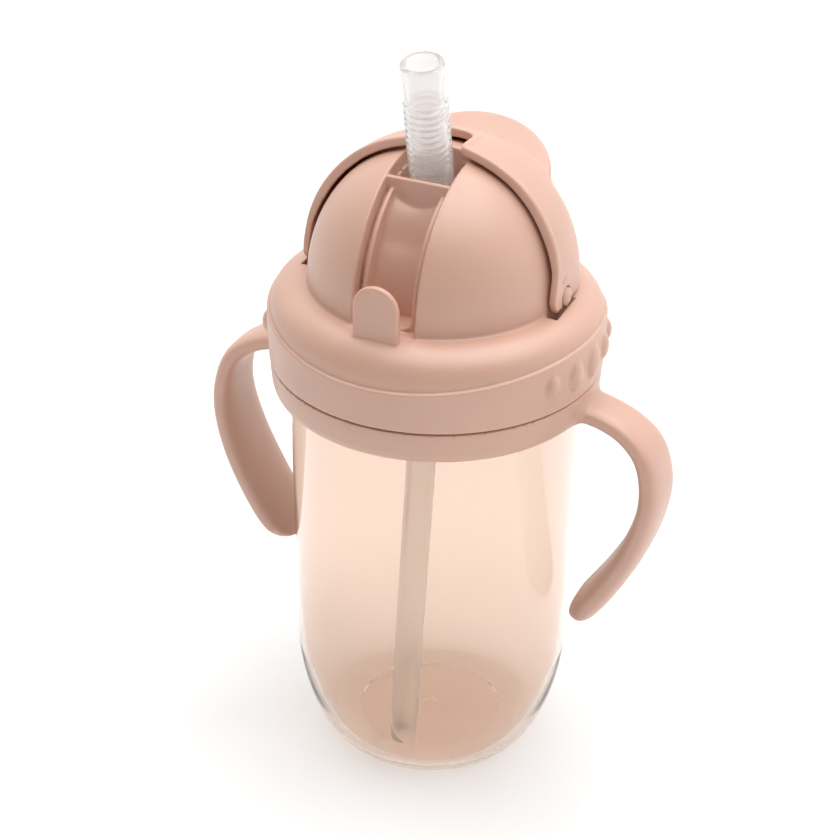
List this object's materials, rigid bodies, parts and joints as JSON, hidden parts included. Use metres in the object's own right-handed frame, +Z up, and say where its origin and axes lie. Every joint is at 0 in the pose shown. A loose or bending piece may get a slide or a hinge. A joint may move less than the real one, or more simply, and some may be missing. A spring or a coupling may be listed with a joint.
{
  "type": "sippy cup",
  "caption": "Toddler's straw cup: tinted tumbler, screw lid with a domed straw cover, folding silicone spout and a two-handled collar.",
  "frame": {"origin": "centre of the foot, on the surface the cup stands on", "axes": "+Z up along the cup's axis, -Y towards the side the straw leans to, handles along +X and -X"},
  "size_m": [0.116, 0.0776, 0.1799],
  "materials": {
    "tumbler": "clear, peach tinted, glossy",
    "peach_plastic": "fine satin moulded",
    "seal": "matte silicone",
    "clear_silicone": "milky translucent",
    "straw_tube": "milky translucent"
  },
  "bodies": {
    "cup": {"cup_body": "tumbler"},
    "handles": {"handle_ring": "peach_plastic"},
    "seal": {"lid_gasket": "seal"},
    "lid": {"lid": "peach_plastic", "spout_bellows": "clear_silicone", "spout_base": "clear_silicone", "lower_straw": "straw_tube"},
    "cover": {"cover": "peach_plastic"},
    "spout": {"spout_mouthpiece": "clear_silicone"}
  },
  "joints": [
    {"name": "handle_turn", "type": "hinge", "parent": "cup", "child": "handles", "pos_m": [0, 0, 0.103], "axis": [0, 0, 1], "continuous": true},
    {"name": "lid_lift", "type": "slide", "parent": "cup", "child": "seal", "axis": [0, 0, 1], "range_m": [0, 0.005]},
    {"name": "lid_turn", "type": "hinge", "parent": "seal", "child": "lid", "pos_m": [0, 0, 0.112], "axis": [0, 0, 1], "range_deg": [0, 450]},
    {"name": "cover_turn", "type": "hinge", "parent": "lid", "child": "cover", "pos_m": [0, 0, 0.1273], "axis": [1, 0, 0], "range_deg": [0, 68]},
    {"name": "straw_fold", "type": "hinge", "parent": "lid", "child": "spout", "pos_m": [0, -0.0069, 0.1567], "axis": [1, 0, 0], "range_deg": [0, 128.3], "deforming": ["spout_bellows", "spout_mouthpiece"]}
  ],
  "couplings": [
    {"joint": "lid_lift", "follows": "lid_turn", "m_per_rad": 0.00063662},
    {"joint": "straw_fold", "follows": "cover_turn", "ratio": 1.884}
  ]
}
